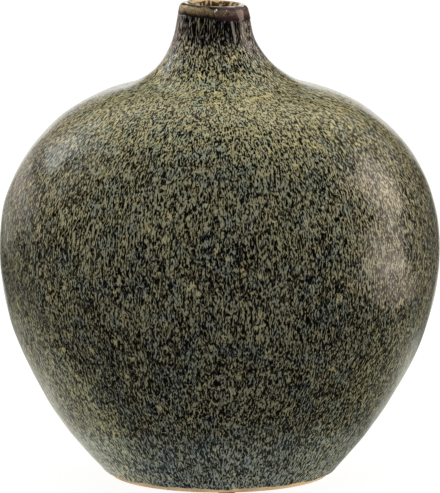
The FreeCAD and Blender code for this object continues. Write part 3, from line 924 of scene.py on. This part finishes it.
class VASE_OT_stage(bpy.types.Operator):
    """Sets out the pale floor, the soft lamps, the world and the camera"""

    bl_idname = "vase.stage"
    bl_label = "Stage"

    def execute(self, context):
        studio = context.scene.vase_studio
        make_floor()
        make_world(studio)
        make_lamps(studio)
        make_camera(studio)
        return {"FINISHED"}


WARM, PLAIN, COOL, BLUSH = (1.0, 0.84, 0.68), (1.0, 0.91, 0.76), (0.90, 0.97, 1.0), (1.0, 0.88, 0.80)
WHITE, ROOM_COLOUR, FLOOR_COLOUR = (1.0, 1.0, 1.0), (1.0, 0.89, 0.66), (1.0, 1.0, 0.86)
FLOOR_REACH = 6.0
# Grey of the floor for light, and its grey and glow for the camera, which add up to white but for the shadow
FLOOR_GREY, SEEN_GREY, SEEN_GLOW = 0.80, 0.16, 0.90
# What the glaze mirrors of the floor: round pools of light, each a middle, the distances at which its level
# begins and ends to change, and the levels there
POOLS = (
    ((-0.10, 0.03), 0.05, 0.12, 0.34, 0.0),
    ((0.0, 0.0), 0.08, 0.105, 0.16, 0.0),
    ((0.10, 0.16), 0.03, 0.17, 0.50, 0.0),
    ((-0.12, 0.18), 0.05, 0.20, 0.34, 0.0),
)
FAR_POOL = ((-0.05, 0.1), 0.20, 0.45, 1.0, 0.35)
FOOT_BOUNCE = ((0.0, 0.0), 0.08, 0.25, 0.42, 0.08)


def make_floor():
    """A wide level floor: white to the camera apart from the vase's soft shadow, pale grey to matt surfaces,
    and to the glaze dim, with soft pools of light."""
    mesh = bpy.data.meshes.new("floor")
    corners = [(FLOOR_REACH * x, FLOOR_REACH * y, 0) for x, y in ((-1, -1), (1, -1), (1, 1), (-1, 1))]
    mesh.from_pydata(corners, [], [range(4)])
    floor = add_object("floor", mesh)
    paint = new_paint("floor_white")
    paint.material.cycles.emission_sampling = "NONE"
    place = paint.place()
    x, y = paint.split(place, X), paint.split(place, Y)

    def pool(middle, *levels):
        """A level that changes with the distance from a middle."""
        offset = paint.vector("SUBTRACT", place, (*middle, 0.0))
        distance = paint.node("ShaderNodeVectorMath", {"operation": "LENGTH"}, {0: offset}, 1)
        return paint.rise(distance, *levels)

    # a warm card on the right, a strip behind, and the left far corner
    warm = paint.rise(x, 0.36, 0.42) * paint.rise(abs(y - 0.04), 0.16, 0.10)
    strip = paint.rise(y, 0.30, 0.45) * paint.rise(abs(x) - y * 0.22, 0.15, 0.09) * 0.7
    left_far = paint.rise(x, -0.45, -0.65) * paint.rise(abs(x) - y, 0.15, -0.10) * 0.40
    level = 0.04 + pool(*FAR_POOL) * paint.rise(y, -0.03, 0.04, 0.0, 0.16) + warm * 1.5 + strip + left_far
    for each in POOLS:
        level = level + pool(*each)
    glow = paint.light(paint.vector("MULTIPLY", paint.mix(warm, FLOOR_COLOUR, WARM), level))
    matt = paint.added(paint.matt(FLOOR_GREY), paint.light(pool(*FOOT_BOUNCE)))
    seen = paint.added(paint.matt(SEEN_GREY), paint.light((SEEN_GLOW, SEEN_GLOW, SEEN_GLOW, 1)))
    shader = paint.between(paint.ray("Is Camera Ray"), matt, seen)
    shader = paint.between(paint.ray("Is Glossy Ray"), shader, glow)
    paint.node("ShaderNodeOutputMaterial", {}, {"Surface": shader})
    mesh.materials.append(paint.material)


def make_world(studio):
    """White behind the vase for the camera, a dim studio in the glaze, and a plain level for matt surfaces."""
    world = bpy.data.worlds.new("studio")
    world.use_nodes = True
    world.cycles.sampling_method = "NONE"
    bpy.context.scene.world = world
    paint = Paint(world.node_tree)
    way = paint.node("ShaderNodeTexCoord", output="Generated")
    side, back, up = (paint.split(way, axis) for axis in (X, Y, Z))
    # in the glaze: brighter behind than in front, a pale backdrop, and a blush low behind on the left
    behind = paint.rise(back, 0.0, 0.9)
    left = paint.rise(side, 0.35, -0.6)
    low = paint.rise(up, 0.75, 0.15)
    backdrop = paint.rise(back, 0.95, 0.985) * paint.rise(up, 0.30, 0.18)
    blush = paint.rise(side, -0.15, -0.42) * paint.rise(back, 0.35, 0.60)
    blush = blush * paint.rise(up, -0.04, 0.04) * paint.rise(up, 0.30, 0.16)
    dim = 0.03 + behind * (0.04 + left * low * 0.06 + 0.04 * left) + paint.rise(up, 0.2, 0.9, 0.0, 0.06)
    dim = dim + blush * 0.60
    dim = backdrop * (1 - dim) + dim
    # for matt surfaces: brighter from above and from behind
    plain = paint.rise(up, -0.4, 1.0, studio.level * 0.5, studio.level * 1.5)
    plain = plain * (0.80 + paint.rise(back, -0.6, 0.8, 0.0, 0.55) + paint.rise(side, 0.5, -0.9, 0.0, 0.06))
    mirrored = paint.ray("Is Glossy Ray")
    strength = mirrored * (dim - plain) + plain
    seen = paint.maths("MAXIMUM", paint.ray("Is Camera Ray"), paint.ray("Is Transmission Ray"))
    strength = seen * (1 - strength) + strength
    room = paint.mix(mirrored * (1 - backdrop), WHITE, paint.mix(blush, ROOM_COLOUR, BLUSH))
    light = paint.node("ShaderNodeBackground", {}, {"Color": paint.vector("MULTIPLY", room, strength)})
    paint.node("ShaderNodeOutputWorld", {}, {"Surface": light})


# Lamps as azimuth and elevation from the vase, distance, size across and up in degrees, a part of the lamp
# level, a colour, and whether the glaze mirrors them. Azimuth 0 is towards the camera and 90 to the right.
LAMPS = {
    "softbox_right_high": (101, 25, 0.62, 25, 27, 2.0, WARM, True),
    "softbox_right_low": (91, 0.5, 0.62, 28, 23, 1.7, WARM, True),
    "softbox_right_back": (125, 34, 1.2, 40, 30, 0.30, PLAIN, True),
    "softbox_left_back": (-124, 36, 1.2, 52, 34, 0.28, PLAIN, True),
    "softbox_left_small": (-131, 31, 1.2, 16, 18, 1.0, COOL, True),
    "softbox_over_back": (180, 60, 1.2, 50, 36, 0.28, PLAIN, True),
    "fill_left": (-108, 4, 1.2, 40, 30, 2.6, WARM, False),
    "fill_right": (114, 4, 1.2, 40, 30, 2.4, WARM, False),
}


def make_lamps(studio):
    """Plain soft area lights that face the vase's middle. A lamp's power goes with its area, so lamps of the
    same part look equally bright."""
    middle = Vector((0, 0, CAD_BOX[1].z / 2))
    for name, (azimuth, elevation, distance, across, up, part, tint, mirrored) in LAMPS.items():
        azimuth, elevation, across, up = (math.radians(a) for a in (azimuth, elevation, across, up))
        level = math.cos(elevation)
        way = Vector((math.sin(azimuth) * level, -math.cos(azimuth) * level, math.sin(elevation)))
        light = bpy.data.lights.new(name, "AREA")
        light.shape = "RECTANGLE"
        light.size = 2 * distance * math.tan(across / 2)
        light.size_y = 2 * distance * math.tan(up / 2)
        light.color = tint
        light.energy = part * studio.lamps * light.size * light.size_y * math.pi
        lamp = add_object(name, light)
        lamp.location = middle + way * distance
        lamp.rotation_euler = way.to_track_quat("Z", "Y").to_euler()
        lamp.visible_camera = False
        lamp.visible_glossy = mirrored


def make_camera(studio):
    """The camera in front of the vase, a long way off and a little above it."""
    data = bpy.data.cameras.new("camera")
    data.lens = studio.lens
    data.sensor_width = 36
    data.clip_start, data.clip_end = 0.1, 30
    camera = add_object("camera", data)
    back = Vector((0, -math.cos(studio.elevation), math.sin(studio.elevation)))
    camera.location = Vector((studio.aim_x, 0, studio.aim_z)) + back * studio.distance
    camera.rotation_euler = back.to_track_quat("Z", "Y").to_euler()
    bpy.context.scene.camera = camera
    bpy.context.scene.view_settings.view_transform = "Standard"


# The add-on

OPERATORS = (
    VASE_OT_clay, VASE_OT_speckled_coat, VASE_OT_lip_band, VASE_OT_lining, VASE_OT_base_coat,
    VASE_OT_felt_dots, VASE_OT_stage,
)
GROUPS = {
    "vase_clay": ClaySizes,
    "vase_coats": CoatSizes,
    "vase_colours": GlazeColours,
    "vase_studio": StudioLevels,
}


class VIEW3D_PT_vase(bpy.types.Panel):
    """The vase's sizes and colours, and a button for each piece"""

    bl_label = "Bottle vase"
    bl_space_type = "VIEW_3D"
    bl_region_type = "UI"
    bl_category = "Vase"

    def draw(self, context):
        for group, kind in GROUPS.items():
            box = self.layout.box()
            for name in kind.__annotations__:
                box.prop(getattr(context.scene, group), name)
        for operator in OPERATORS:
            self.layout.operator(operator.bl_idname)


CLASSES = (*GROUPS.values(), *OPERATORS, VIEW3D_PT_vase)


def register():
    for made in CLASSES:
        bpy.utils.register_class(made)
    for name, group in GROUPS.items():
        setattr(bpy.types.Scene, name, bpy.props.PointerProperty(type=group))


def unregister():
    for name in GROUPS:
        delattr(bpy.types.Scene, name)
    for made in reversed(CLASSES):
        bpy.utils.unregister_class(made)


def main():
    register()
    for operator in OPERATORS:
        group, name = operator.bl_idname.split(".")
        getattr(getattr(bpy.ops, group), name)()


if __name__ == "__main__":
    main()
